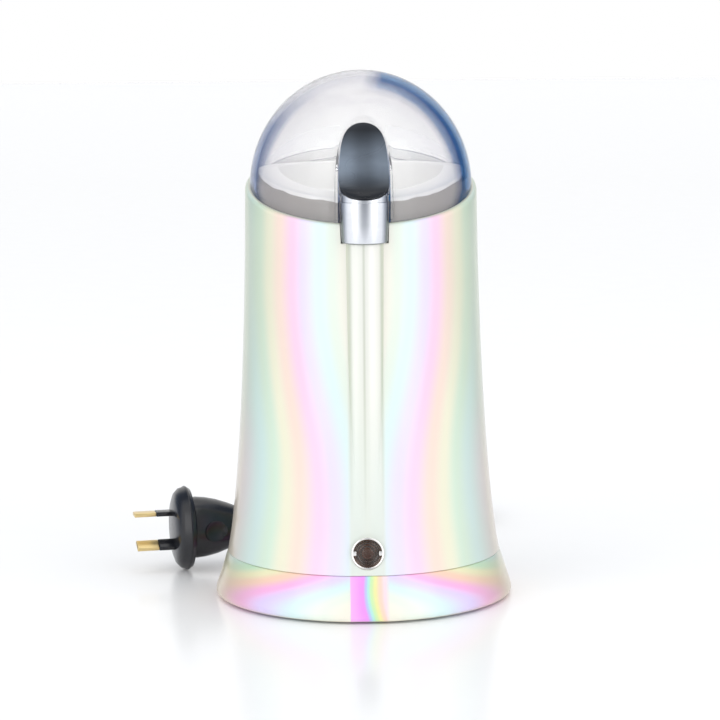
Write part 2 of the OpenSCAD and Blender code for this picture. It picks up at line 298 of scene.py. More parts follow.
# ---------------------------------------------------------------- shader tools
class Wiring:
    """Nodes and links of one material or node group."""

    def __init__(self, tree: bpy.types.NodeTree) -> None:
        """Start from a tree."""
        self.tree = tree

    def add(self, kind: str, values: dict[str | int, object] | None = None,
            **settings: object) -> bpy.types.Node:
        """Place a node.

        Args:
            kind: The node's type, without the ShaderNode prefix.
            values: Input values or sockets to link, by input name or number.
            **settings: Properties of the node.

        Returns:
            The node.
        """
        node = self.tree.nodes.new(kind if kind.startswith("Node") else "ShaderNode" + kind)
        for name, value in settings.items():
            setattr(node, name, value)
        for key, value in (values or {}).items():
            self.plug(value, node.inputs[key])
        return node

    def plug(self, value: object, socket: bpy.types.NodeSocket) -> None:
        """Link a socket, or set a plain value."""
        if isinstance(value, bpy.types.NodeSocket):
            self.tree.links.new(value, socket)
        elif isinstance(value, tuple) and len(value) == 3 and socket.type == "RGBA":
            socket.default_value = (*value, 1.0)
        else:
            socket.default_value = value

    def maths(self, how: str, *values: object) -> bpy.types.NodeSocket:
        """One arithmetic step on numbers or sockets."""
        return self.add("Math", dict(enumerate(values)), operation=how).outputs[0]

    def place(self) -> list[bpy.types.NodeSocket]:
        """The object coordinates: the whole vector, then X, Y and Z."""
        whole = self.add("TexCoord").outputs["Object"]
        return [whole, *self.add("SeparateXYZ", {0: whole}).outputs]

    def reach(self, x: object, y: object) -> bpy.types.NodeSocket:
        """Distance from the upright axis."""
        level = self.add("CombineXYZ", {0: x, 1: y}).outputs[0]
        return self.add("VectorMath", {0: level}, operation="LENGTH").outputs["Value"]

    def span(self, value: object, start: object, end: object, low: object = 0.0,
             high: object = 1.0, smooth: bool = False) -> bpy.types.NodeSocket:
        """Carry a value's course from start to end over to one from low to high.

        Args:
            value: The value to follow.
            start: Where it gives low.
            end: Where it gives high.
            low: First result.
            high: Last result.
            smooth: True to ease in and out.

        Returns:
            The result, which stays between low and high.
        """
        return self.add("MapRange", {0: value, 1: start, 2: end, 3: low, 4: high},
                        interpolation_type="SMOOTHSTEP" if smooth else "LINEAR").outputs[0]

    def wander(self, place: object, size: float, width: float) -> bpy.types.NodeSocket:
        """Soft unevenness of a width, half of it below 0."""
        cloud = self.add("TexNoise", {"Vector": place, "Scale": size, "Detail": 1.0}).outputs[0]
        return self.times(self.maths("SUBTRACT", cloud, 0.5), width)

    def facing(self) -> bpy.types.NodeSocket:
        """0 where a surface is seen straight on, 1 where it is seen edge on."""
        return self.add("LayerWeight", {"Blend": 0.5}).outputs["Facing"]

    def ramp(self, value: object, stops: Stops) -> bpy.types.NodeSocket:
        """A colour from stops that start at 0 and end at 1."""
        node = self.add("ValToRGB", {0: value})
        bar = node.color_ramp
        bar.interpolation = "EASE"
        for place, colour in stops[1:-1]:
            bar.elements.new(place).color = (*colour, 1.0)
        bar.elements[0].color = (*stops[0][1], 1.0)
        bar.elements[-1].color = (*stops[-1][1], 1.0)
        return node.outputs[0]

    def times(self, first: object, second: object) -> bpy.types.NodeSocket:
        """The product of two numbers."""
        return self.maths("MULTIPLY", first, second)

    def plus(self, first: object, second: object) -> bpy.types.NodeSocket:
        """The sum of two numbers."""
        return self.maths("ADD", first, second)

    def mix(self, share: object, first: object, second: object) -> bpy.types.NodeSocket:
        """Blend two colours."""
        node = self.add("Mix", data_type="RGBA")
        for socket, value in zip([node.inputs[0], node.inputs[6], node.inputs[7]],
                                 [share, first, second]):
            self.plug(value, socket)
        return node.outputs[2]


def new_group(name: str, inputs: dict[str, float], *outputs: str
              ) -> tuple[Wiring, bpy.types.Node, bpy.types.Node]:
    """Make an empty shader node group.

    Args:
        name: The group's name.
        inputs: Number inputs and their usual values.
        *outputs: Names of the outputs, numbers but for Color.

    Returns:
        Its wiring, its input node and its output node.
    """
    tree = bpy.data.node_groups.new(name, "ShaderNodeTree")
    for label, value in inputs.items():
        socket = tree.interface.new_socket(label, in_out="INPUT", socket_type="NodeSocketFloat")
        socket.default_value = value
    for label in outputs:
        kind = "NodeSocketColor" if label == "Color" else "NodeSocketFloat"
        tree.interface.new_socket(label, in_out="OUTPUT", socket_type=kind)
    wires = Wiring(tree)
    return wires, wires.add("NodeGroupInput"), wires.add("NodeGroupOutput")


def fine_grain() -> bpy.types.NodeTree:
    """Faint moulded unevenness and dust, as a height and a mask."""
    wires, given, out = new_group("fine_grain", {"Size": 900.0, "Spread": 0.4}, "Height", "Mask")
    place = wires.place()[0]
    fine = wires.add("TexNoise", {"Vector": place, "Scale": given.outputs["Size"], "Detail": 3.0})
    wide = wires.add("TexNoise", {"Vector": place, "Scale": 45.0, "Detail": 2.0})
    mask = wires.times(wide.outputs[0], given.outputs["Spread"])
    wires.plug(fine.outputs[0], out.inputs["Height"])
    wires.plug(mask, out.inputs["Mask"])
    return wires.tree


def brushed_lines() -> bpy.types.NodeTree:
    """Lines drawn round an upright axis by a brush, as a height and a mask."""
    wires, given, out = new_group("brushed_lines", {"Across": 2500.0, "Along": 60.0},
                                  "Height", "Mask")
    _, x, y, z = wires.place()
    along, across = given.outputs["Along"], given.outputs["Across"]
    stretched = wires.add("CombineXYZ", {0: wires.times(x, along), 1: wires.times(y, along),
                                         2: wires.times(z, across)}).outputs[0]
    lines = wires.add("TexNoise", {"Vector": stretched, "Scale": 1.0, "Detail": 2.0})
    wires.plug(lines.outputs[0], out.inputs["Height"])
    wires.plug(lines.outputs[0], out.inputs["Mask"])
    return wires.tree


def shown(*parts: float) -> Colour:
    """A colour as it looks on a screen, as the linear values that a shader takes."""
    return tuple(((c + 0.055) / 1.055) ** 2.4 for c in parts)


BANDS: Stops = (
    (0.0, shown(0.98, 0.79, 0.92)), (0.18, shown(0.97, 0.86, 0.80)),
    (0.32, shown(0.93, 0.92, 0.80)), (0.46, shown(0.80, 0.915, 0.82)),
    (0.62, shown(0.77, 0.93, 0.94)), (0.84, shown(0.90, 0.85, 0.99)),
    (1.0, shown(0.98, 0.79, 0.92)))
# across the rib, painted highlights on both flanks and painted shade lines at the middle and the
# edges
RIB_PAINTED_LIGHT: Stops = (
    (0.0, shown(0.93, 0.94, 0.90)), (0.1, shown(0.82, 0.84, 0.79)),
    (0.2, shown(0.96, 0.97, 0.94)), (0.4, shown(0.91, 0.92, 0.89)),
    (0.46, shown(0.78, 0.80, 0.75)), (0.51, shown(0.90, 0.91, 0.88)),
    (0.64, shown(0.97, 0.97, 0.95)), (0.84, shown(0.94, 0.94, 0.91)),
    (0.91, shown(0.80, 0.82, 0.77)), (1.0, shown(0.93, 0.94, 0.90)))
PATCH: Stops = (
    (0.0, shown(0.98, 0.72, 0.97)), (0.44, shown(0.95, 0.62, 0.98)),
    (0.52, shown(0.76, 0.80, 0.96)), (0.58, shown(0.72, 0.93, 0.90)),
    (0.66, shown(0.82, 0.95, 0.72)), (0.76, shown(0.95, 0.94, 0.66)),
    (0.88, shown(0.98, 0.86, 0.78)), (1.0, shown(0.97, 0.88, 0.91)))


def pearl_bands() -> bpy.types.NodeTree:
    """Soft bands of colour down the sides, the same at the left and the right.

    Returns:
        A group. The pink band stands where the share of the radius to the side is Low, plus
        Rise between the heights From and To. Width is the width of a whole cycle and Depth
        the strength of the colours, which is Least next to the front.
    """
    wires, given, out = new_group(
        "pearl_bands", {"Low": 0.31, "Rise": 0.29, "From": 0.03, "To": 0.13, "Width": 0.62,
                        "Depth": 0.6, "Least": 0.1}, "Color")
    value = given.outputs
    place, x, y, z = wires.place()
    across, reach = wires.maths("ABSOLUTE", x), wires.reach(x, y)
    # how far the place is outside the middle of the pink band
    climb = wires.span(z, value["From"], value["To"], 0.0, value["Rise"], smooth=True)
    foot = wires.span(z, 0.07, 0.015, 0.0, 0.06, smooth=True)
    pink = wires.plus(wires.plus(climb, foot), value["Low"])
    from_pink = wires.maths("SUBTRACT", wires.maths("DIVIDE", across, reach), pink)
    # the colour there, in bands that are wider near the foot
    whole = wires.times(wires.span(z, 0.03, 0.11, 1.25, 1.0), value["Width"])
    cycle = wires.plus(wires.maths("DIVIDE", from_pink, whole), wires.wander(place, 14.0, 0.1))
    share = wires.span(from_pink, -0.5, -0.05, value["Least"], value["Depth"])
    bands = wires.mix(share, shown(0.975, 0.97, 0.955),
                      wires.ramp(wires.maths("FRACT", cycle), BANDS))
    # the rib: upright bands of painted highlight and painted shade, which fade towards the foot
    middle = wires.span(across, 0.0058, 0.0074, 0.8, 0.0, smooth=True)
    strip = wires.times(middle, wires.maths("LESS_THAN", y, 0.0))
    rib_painted_light = wires.ramp(wires.span(x, -0.0075, 0.0075), RIB_PAINTED_LIGHT)
    rib = wires.mix(wires.span(z, 0.035, 0.09), shown(0.90, 0.915, 0.885), rib_painted_light)
    outside = wires.mix(strip, bands, rib)
    # the pale wall inside the rim
    inside = wires.times(wires.maths("LESS_THAN", reach, 0.0436),
                         wires.maths("GREATER_THAN", z, 0.15))
    wires.plug(wires.mix(inside, outside, shown(0.98, 0.975, 0.965)), out.inputs["Color"])
    return wires.tree


def ring_patch() -> bpy.types.NodeTree:
    """The strongly coloured flat at the front of the ring, as a colour and a mask."""
    wires, _, out = new_group("ring_patch", {}, "Color", "Mask")
    place, x, y, z = wires.place()
    lean = wires.times(wires.maths("SUBTRACT", z, 0.008), 9.0)
    along = wires.plus(wires.span(x, -0.0068, 0.0078), lean)
    colour = wires.ramp(wires.plus(along, wires.wander(place, 60.0, 0.35)), PATCH)
    left = wires.maths("GREATER_THAN", x, -0.0067)
    right = wires.span(x, 0.0066, 0.0082, 1.0, 0.0)
    mask = wires.times(wires.times(left, right), wires.maths("LESS_THAN", y, 0.0))
    wires.plug(colour, out.inputs["Color"])
    wires.plug(mask, out.inputs["Mask"])
    return wires.tree


GROUPS: dict[str, bpy.types.NodeTree] = {}


@dataclass(frozen=True)
class Finish:
    """A surface finish.

    Attributes:
        name: The material's name.
        colour: Base colour.
        roughness: From 0, mirror, to 1, matt.
        metallic: 1 for metal.
        transmission: 1 for clear plastic.
        coat: Weight of the clear gloss on top.
        bump: Height of the fine unevenness.
        grain: Its size.
        vary: How much the roughness varies.
        lines: True for brushed lines in place of grain.
    """

    name: str
    colour: Colour
    roughness: float = 0.4
    metallic: float = 0.0
    transmission: float = 0.0
    coat: float = 0.0
    bump: float = 0.05
    grain: float = 900.0
    vary: float = 0.15
    lines: bool = False

    def paint(self, wires: Wiring) -> object:
        """The base colour, plain or from nodes."""
        return wires.mix(self.group(wires).outputs["Mask"], self.colour,
                         tuple(min(1.0, c * 1.12 + 0.01) for c in self.colour))

    def group(self, wires: Wiring) -> bpy.types.Node:
        """The unevenness that this finish uses."""
        if self.lines:
            return wires.add("Group", node_tree=GROUPS["brushed_lines"])
        node = wires.add("Group", node_tree=GROUPS["fine_grain"])
        node.inputs["Size"].default_value = self.grain
        return node

    def extras(self, wires: Wiring, shader: bpy.types.Node) -> None:
        """Settings that only some finishes have."""

    def build(self) -> bpy.types.Material:
        """Make the material, or return the one already made."""
        if self.name in bpy.data.materials:
            return bpy.data.materials[self.name]
        material = bpy.data.materials.new(self.name)
        material.use_nodes = True
        wires = Wiring(material.node_tree)
        shader = material.node_tree.nodes["Principled BSDF"]
        texture = self.group(wires)
        rough = wires.plus(wires.times(texture.outputs["Mask"], self.vary),
                           self.roughness - self.vary / 3)
        relief = wires.add("Bump", {"Strength": self.bump, "Distance": 0.0004,
                                    "Height": texture.outputs["Height"]})
        for label, value in {
                "Base Color": self.paint(wires), "Roughness": rough, "Metallic": self.metallic,
                "Transmission Weight": self.transmission, "Coat Weight": self.coat,
                "Normal": relief.outputs[0]}.items():
            wires.plug(value, shader.inputs[label])
        self.extras(wires, shader)
        return material


@dataclass(frozen=True)
class PearlFinish(Finish):
    """Pearl lacquer with soft bands of colour.

    Attributes:
        low: Place of the pink band at the bottom, as a share of the radius.
        rise: How much further out it stands at the top.
        start: Height in metres where it begins to move out.
        end: Height where it stops.
        width: Width of a whole cycle of colours.
        depth: Strength of the colours.
        least: Their strength next to the front.
        boost: Their saturation.
        patch: True for the ring, whose front flat has stronger colours.
    """

    low: float = 0.31
    rise: float = 0.29
    start: float = 0.03
    end: float = 0.13
    width: float = 0.62
    depth: float = 0.65
    least: float = 0.12
    boost: float = 1.25
    patch: bool = False

    def paint(self, wires: Wiring) -> object:
        """Bands of colour, with painted shade where the surface is seen edge on."""
        node = wires.add("Group", node_tree=GROUPS["pearl_bands"])
        for label, value in {"Low": self.low, "Rise": self.rise, "From": self.start,
                             "To": self.end, "Width": self.width,
                             "Depth": self.depth, "Least": self.least}.items():
            node.inputs[label].default_value = value
        colour = wires.add("HueSaturation", {"Saturation": self.boost,
                                             "Color": node.outputs["Color"]}).outputs[0]
        if self.patch:
            flat = wires.add("Group", node_tree=GROUPS["ring_patch"])
            colour = wires.mix(flat.outputs["Mask"], colour, flat.outputs["Color"])
        # painted shade where the surface is seen edge on: a darker beige, browner low down and
        # greener higher up
        high = wires.span(wires.place()[3], 0.05, 0.08)
        side = wires.mix(high, shown(0.80, 0.76, 0.66), shown(0.74, 0.77, 0.66))
        return wires.mix(wires.span(wires.facing(), 0.28, 0.78, 0.0, 0.85), colour, side)

    def extras(self, wires: Wiring, shader: bpy.types.Node) -> None:
        """A smooth clear lacquer."""
        shader.inputs["Coat Roughness"].default_value = 0.1


@dataclass(frozen=True)
class ClearFinish(Finish):
    """Clear plastic, tinted where it is seen edge on.

    Attributes:
        edge: Colour of the plastic seen edge on.
        shade: Colour seen at a slant.
        ior: Refractive index.
    """

    edge: Colour = shown(0.08, 0.28, 0.54)
    shade: Colour = shown(0.955, 0.95, 0.955)
    ior: float = 1.3

    def paint(self, wires: Wiring) -> object:
        """Clear face on; tinted edge on, partly the plastic's own tint and partly painted
        reflection, most at the right and low at the left.
        """
        facing = wires.facing()
        _, x, _, z = wires.place()
        # how strongly the edge is tinted is painted reflection, placed most at the right and low
        # down at the left
        right = wires.times(wires.span(facing, 0.45, 0.6), wires.span(x, 0.0, 0.008))
        low = wires.times(wires.span(facing, 0.53, 0.66),
                          wires.span(z, 0.2, 0.184, 0.15, 0.9))
        strength = wires.maths("MAXIMUM", right, low)
        shade = wires.span(facing, 0.03, 0.3)
        return wires.mix(strength, wires.mix(shade, self.colour, self.shade), self.edge)

    def extras(self, wires: Wiring, shader: bpy.types.Node) -> None:
        """The plastic's index, and a weak gloss."""
        shader.inputs["IOR"].default_value = self.ior
        shader.inputs["Specular IOR Level"].default_value = 0.3


@dataclass(frozen=True)
class CollarFinish(Finish):
    """Plastic that is brown-grey low on its outside and pale elsewhere.

    Attributes:
        top: The pale colour.
        line: Height in metres above the slanted rim where the pale colour starts.
        rim: The rim's height on the axis.
        slope: Its rise towards the back.
    """

    top: Colour = shown(0.98, 0.975, 0.965)
    line: float = 0.0064
    rim: float = 0.161
    slope: float = 0.28

    def paint(self, wires: Wiring) -> object:
        """Brown-grey up to an uneven line that follows the rim, then pale."""
        place, x, y, z = wires.place()
        rim = wires.plus(wires.times(y, self.slope), self.rim)
        above = wires.plus(wires.maths("SUBTRACT", z, rim), wires.wander(place, 160.0, 0.0014))
        pale = wires.span(above, self.line, self.line + 0.0004)
        inside = wires.maths("LESS_THAN", wires.reach(x, y), 0.0385)
        share = wires.maths("MAXIMUM", pale, inside)
        return wires.mix(share, super().paint(wires), self.top)


@dataclass(frozen=True)
class SilverFinish(Finish):
    """Satin silver, with painted dark reflections where it is seen straight on and edge on."""

    def paint(self, wires: Wiring) -> object:
        """Painted dark reflections down the middle and the sides of a round piece."""
        facing = wires.facing()
        # painted dark reflections: at the sides where it is seen edge on, and down the middle where
        # it is seen straight on
        side = wires.span(facing, 0.3, 0.6, 1.0, 0.22)
        middle = wires.span(facing, 0.0, 0.035, 0.62, 1.0)
        return wires.mix(wires.times(side, middle), shown(0.28, 0.31, 0.36), super().paint(wires))


@dataclass(frozen=True)
class DishFinish(Finish):
    """Dark polish, with streaky painted highlights towards the middle of the thumb rest.

    Attributes:
        light: Colour of the streaks.
        low: Height in metres under which it is dark.
        bright: Height where it is lightest.
        high: Height above which it is dark again.
    """

    # light: Colour of the painted highlight.
    light: Colour = shown(0.58, 0.63, 0.69)
    low: float = 0.1608
    # bright: Height where the painted highlight is strongest.
    bright: float = 0.1715
    high: float = 0.1835

    def paint(self, wires: Wiring) -> object:
        """Dark at the top and bottom, with soft streaky painted highlights between."""
        place, x, _, z = wires.place()
        stretched = wires.add("Mapping", {0: place, "Scale": (60.0, 60.0, 150.0),
                                          "Rotation": (0.0, 0.35, 0.0)}).outputs[0]
        cloud = wires.add("TexNoise", {"Vector": stretched, "Scale": 1.0, "Detail": 2.0})
        # painted highlight: strongest at mid height, left and right of the middle, broken up by
        # slanted noise
        painted_highlight_streak = wires.span(cloud.outputs[0], 0.3, 0.7, 0.72, 1.0)
        rising = wires.span(z, self.low, self.bright, smooth=True)
        falling = wires.span(z, self.bright, self.high, 1.0, 0.05)
        sides = wires.span(wires.maths("ABSOLUTE", x), 0.001, 0.006, 0.68, 1.0, smooth=True)
        share = wires.times(wires.times(rising, falling), wires.times(sides, painted_highlight_streak))
        return wires.mix(share, self.colour, self.light)


class Palette:
    """Every finish of the object."""

    pearl = PearlFinish("pearl_housing", (0.9, 0.9, 0.9), 0.32, coat=0.5, bump=0.01, vary=0.05)
    pearl_ring = PearlFinish("pearl_ring", (0.9, 0.9, 0.9), 0.3, 0.0, coat=0.5, bump=0.01,
                             vary=0.05, low=0.78, rise=-0.6, start=0.004, end=0.022, width=0.8,
                             depth=0.9, least=0.25, boost=1.5, patch=True)
    clear = ClearFinish("clear_lid", (0.97, 0.97, 0.965), 0.02, transmission=0.86, bump=0.0,
                        vary=0.01)
    smoked = Finish("smoked_lens", (0.26, 0.16, 0.11), 0.06, transmission=0.9, bump=0.0, vary=0.02)
    collar = CollarFinish("collar_plastic", (0.19, 0.155, 0.13), 0.35, bump=0.05)
    silver = SilverFinish("satin_silver", (0.74, 0.76, 0.80), 0.2, 1.0, bump=0.008,
                          lines=True, vary=0.06)
    dish = DishFinish("dark_dish", (0.012, 0.014, 0.018), 0.3, 0.5, bump=0.02, grain=1500.0,
                      vary=0.2)
    steel = Finish("brushed_steel", (0.62, 0.62, 0.63), 0.3, 1.0, bump=0.05, lines=True, vary=0.15)
    bright = Finish("bright_bezel", (0.85, 0.84, 0.82), 0.12, 1.0, bump=0.0, vary=0.04)
    lamination = Finish("laminated_iron", (0.16, 0.16, 0.17), 0.45, 0.8, bump=0.3, lines=True)
    copper = Finish("enamelled_copper", (0.48, 0.2, 0.09), 0.3, 0.8, bump=0.3, lines=True)
    brass = Finish("brass", (0.72, 0.5, 0.22), 0.25, 1.0, bump=0.04)
    black = Finish("black_plastic", (0.018, 0.019, 0.021), 0.38, bump=0.1, grain=1400.0)
    plug = Finish("plug_moulding", (0.007, 0.008, 0.012), 0.24, bump=0.05, grain=1200.0)
    rubber = Finish("black_rubber", (0.02, 0.02, 0.02), 0.62, bump=0.15, grain=1600.0)
    lead = Finish("lead_sheath", (0.02, 0.02, 0.022), 0.45, bump=0.06, grain=700.0)
    carbon = Finish("carbon", (0.03, 0.03, 0.03), 0.6, 0.2, bump=0.2)
    white = Finish("white_plastic", (0.82, 0.82, 0.8), 0.4, bump=0.05)
    bowl = Finish("bright_steel", (0.95, 0.95, 0.94), 0.35, 0.6, bump=0.01, lines=True, vary=0.08)
    cup = Finish("smoked_cup", (0.20, 0.145, 0.11), 0.25, 0.6, bump=0.05)
    amber = Finish("amber_plastic", (0.9, 0.33, 0.06), 0.3, bump=0.02)


def dress(piece: bpy.types.Object, finish: Finish) -> bpy.types.Object:
    """Give a piece one finish."""
    piece.data.materials.clear()
    piece.data.materials.append(finish.build())
    return piece


def hand_over(piece: bpy.types.Object, finish: Finish, body: str, slot: str,
              *nodes: str) -> None:
    """Give a piece its finish, hang it on its body and hide the nodes that it stands for.

    Args:
        piece: The piece.
        finish: Its finish.
        body: The body it moves with.
        slot: The material slot it takes its finish from; not used.
        *nodes: The nodes that it stands for.
    """
    dress(piece, finish)
    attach(piece, body)
    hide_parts(*nodes)
    log.info("%s rides on %s", piece.name, body)


# ---------------------------------------------------------------- camera, light and floor
SURROUND: Stops = (
    (0.0, (0.42, 0.44, 0.47)), (0.06, (0.5, 0.52, 0.55)), (0.13, (1.1, 1.1, 1.1)),
    (0.2, (1.3, 1.3, 1.3)), (0.44, (1.25, 1.25, 1.25)), (0.53, (0.75, 0.8, 0.9)),
    (0.62, (0.2, 0.24, 0.32)), (0.76, (0.2, 0.25, 0.34)), (0.85, (1.0, 1.0, 1.0)),
    (1.0, (1.0, 1.0, 1.0)))


@dataclass
class Studio:
    """Camera, soft lights and a pale floor."""

    distance: float = 1000.0
    height: float = 229.4
    azimuth: float = -1.7
    aim: float = 0.047
    pitch: float = 7.82
    roll: float = -0.46
    lens: float = 129.03

    def camera(self) -> None:
        """Place the camera."""
        data = bpy.data.cameras.new("camera")
        data.lens, data.sensor_width = self.lens, 36.0
        data.clip_start, data.clip_end = 0.05, 20.0
        camera = bpy.data.objects.new("camera", data)
        bpy.context.collection.objects.link(camera)
        turn = math.radians(self.azimuth)
        camera.location = (self.distance * math.sin(turn) * MM,
                           -self.distance * math.cos(turn) * MM, self.height * MM)
        camera.rotation_euler = (math.radians(90 - self.pitch), 0,
                                 math.radians(self.azimuth + self.aim))
        upright = camera.rotation_euler.to_quaternion()
        camera.rotation_mode = "QUATERNION"
        camera.rotation_quaternion = upright @ Quaternion((0, 0, 1), math.radians(self.roll))
        bpy.context.scene.camera = camera

    def softbox(self, name: str, place: Point3, size: Point2, power: float) -> None:
        """A rectangular lamp aimed at the object's middle.

        Args:
            name: The lamp's name.
            place: Where it stands, in metres.
            size: Its width and height in metres.
            power: Watts.
        """
        data = bpy.data.lights.new(name, "AREA")
        data.shape, data.size, data.size_y, data.energy = "RECTANGLE", size[0], size[1], power
        lamp = bpy.data.objects.new(name, data)
        bpy.context.collection.objects.link(lamp)
        lamp.location = place
        aim = Vector((0, 0, 0.1)) - Vector(place)
        lamp.rotation_euler = aim.to_track_quat("-Z", "Y").to_euler()

    def light(self) -> None:
        """Two tall side boxes, one overhead, and a pale surround."""
        self.softbox("left_box", (-0.75, -0.75, 0.45), (0.45, 1.1), 1.6)
        self.softbox("right_box", (0.75, -0.75, 0.45), (0.45, 1.1), 1.6)
        self.softbox("top_box", (0.0, 0.1, 1.3), (1.2, 1.2), 2.0)
        world = bpy.data.worlds.new("surround")
        bpy.context.scene.world = world
        world.use_nodes = True
        wires = Wiring(world.node_tree)
        x, y, _ = wires.add("SeparateXYZ", {0: wires.add("TexCoord").outputs["Generated"]}).outputs
        side = wires.maths("ARCTAN2", x, wires.times(y, -1.0))
        share = wires.maths("DIVIDE", wires.maths("ABSOLUTE", side), math.pi)
        seen = wires.add("LightPath").outputs["Is Camera Ray"]
        sky = world.node_tree.nodes["Background"]
        wires.plug(wires.mix(seen, wires.ramp(share, SURROUND), (1.0, 1.0, 1.0)), sky.inputs[0])
        view = bpy.context.scene.view_settings
        view.view_transform, view.look = "Standard", "None"

    def floor(self) -> None:
        """A wide white sheet with a soft sheen."""
        deselect_all()
        bpy.ops.mesh.primitive_plane_add(size=14)
        sheet = bpy.context.object
        sheet.name = "floor"
        finish = Finish("floor_white", (0.96, 0.96, 0.96), 0.19, bump=0.0, vary=0.02)
        dress(sheet, finish)
        shader = finish.build().node_tree.nodes["Principled BSDF"]
        shader.inputs["Emission Strength"].default_value = 0.05


# ---------------------------------------------------------------- housing
@dataclass
class Housing:
    """The tapered shell with its rib, and the flared ring under it."""

    seam: float = 17.5
    wall: float = 2.2
    rim: float = 161.0
    slope: float = 0.28
    steps: int = 192
    facet_columns: int = 4
    facet_top: float = 42.0
    curve: tuple[Point2, ...] = ((53.4, 17.5), (48.0, 46.0), (45.2, 112.0), (44.9, 161.0))
    button_y: float = -42.8
    rib: float = 7.2
    lamp: Point3 = (0.0, -51.9, 26.0)

    def side(self, inset: float, low: float, count: int = 36) -> list[Point2]:
        """The side's outline from a height up, moved inwards by an inset."""
        points = [bezier(self.curve, i / count) for i in range(count + 1)]
        return [(radius - inset, height) for radius, height in points if height > low]

    def rim_at(self, y: float) -> float:
        """Height of the rim at a place from front to back."""
        return self.rim + self.slope * y

    def flatten(self, place: Vector) -> Point3:
        """Press the narrow band down the front flat, between two of the outline's columns."""
        angle = math.atan2(place.x, -place.y)
        limit = self.facet_columns * TAU / self.steps
        radius = math.hypot(place.x, place.y)
        if abs(angle) < limit and place.z < self.facet_top and radius > 49.5:
            return (place.x, -radius * math.cos(limit), place.z)
        return tuple(place)

    def shell(self) -> None:
        """The housing's shell."""
        side = [point for point in self.side(0, self.seam + 0.6) if point[1] < 143]
        outer = [(53.0, self.seam), (53.35, self.seam + 0.15), *side, (44.5, 180.0)]
        inner = [(42.65, 180.0), (42.65, 106.0), (40.0, 106.0), (40.0, 103.0)]
        inner += [(r, z) for r, z in reversed(self.side(self.wall, 24.0)) if z < 102]
        inner += [(48.5, 24.0), (48.5, 12.0), (50.5, 12.0), (50.5, self.seam)]
        piece = lathe("housing_shell", outer + inner, self.steps)
        reshape(piece, self.flatten)
        trim(piece, self.rim, self.slope)
        bridge_open_ends(piece)
        round_rim(piece, self.rim_at, (44.0, 60.0), 1.5)
        round_rim(piece, self.rim_at, (42.0, 43.0), 0.35)
        at = (0.0, self.button_y)
        rib = post(self.rib, 34, 143, at)
        core = [(0, 28), (39.7, 28), (39.7, 106.3), (42.2, 106.3), (42.2, 190), (0, 190)]
        work(rib, lathe("core", core, 96, False), Join.CUT)
        work(piece, rib, Join.ADD)
        channel = [(0, 30.5), (self.rib - 2.2, 30.5), (self.rib - 2.2, 139.5), (2.3, 139.5),
                   (2.3, 141.8), (9.05, 141.8), (9.3, 150), (9.4, 190), (0, 190)]
        work(piece, lathe("channel", channel, 60, False, at), Join.CUT)
        seat = -self.lamp[1]
        hole = lathe("hole", [(0, 40), (5.9, 40), (5.9, seat), (6.3, seat), (6.3, 60), (0, 60)],
                     64, False)
        work(piece, lay_down(hole, self.lamp[2], -1), Join.CUT)
        hand_over(settle(piece, 28), Palette.pearl, "housing", "pearl_plastic", "body_shell")

    def ring(self) -> None:
        """The flared ring under the housing, with a rounded foot and a fine seam."""
        outline = arc((56.7, 2.3), 1.5, -90, -10, 5)
        outline += [(58.16, 3.0), (57.85, 4.2), (57.1, 6.4), (56.35, 8.6), (55.5, 11.3),
                    (54.6, 14.0), (53.75, 16.7), (53.45, 17.2), (53.0, 17.45)]
        outline += [(50.9, 17.45), (52.4, 4.5), (54.5, 4.5), (54.5, 0.9), (55.2, 0.8)]
        piece = lathe("flared_ring", outline, self.steps)
        reshape(piece, self.flatten)
        work(piece, lay_down(post(5.1, 40, 70, steps=48), 10, 1), Join.CUT)
        hand_over(settle(piece, 28), Palette.pearl_ring, "housing", "pearl_plastic", "base_ring")

    def build(self) -> None:
        """Make the shell and the ring."""
        self.shell()
        self.ring()


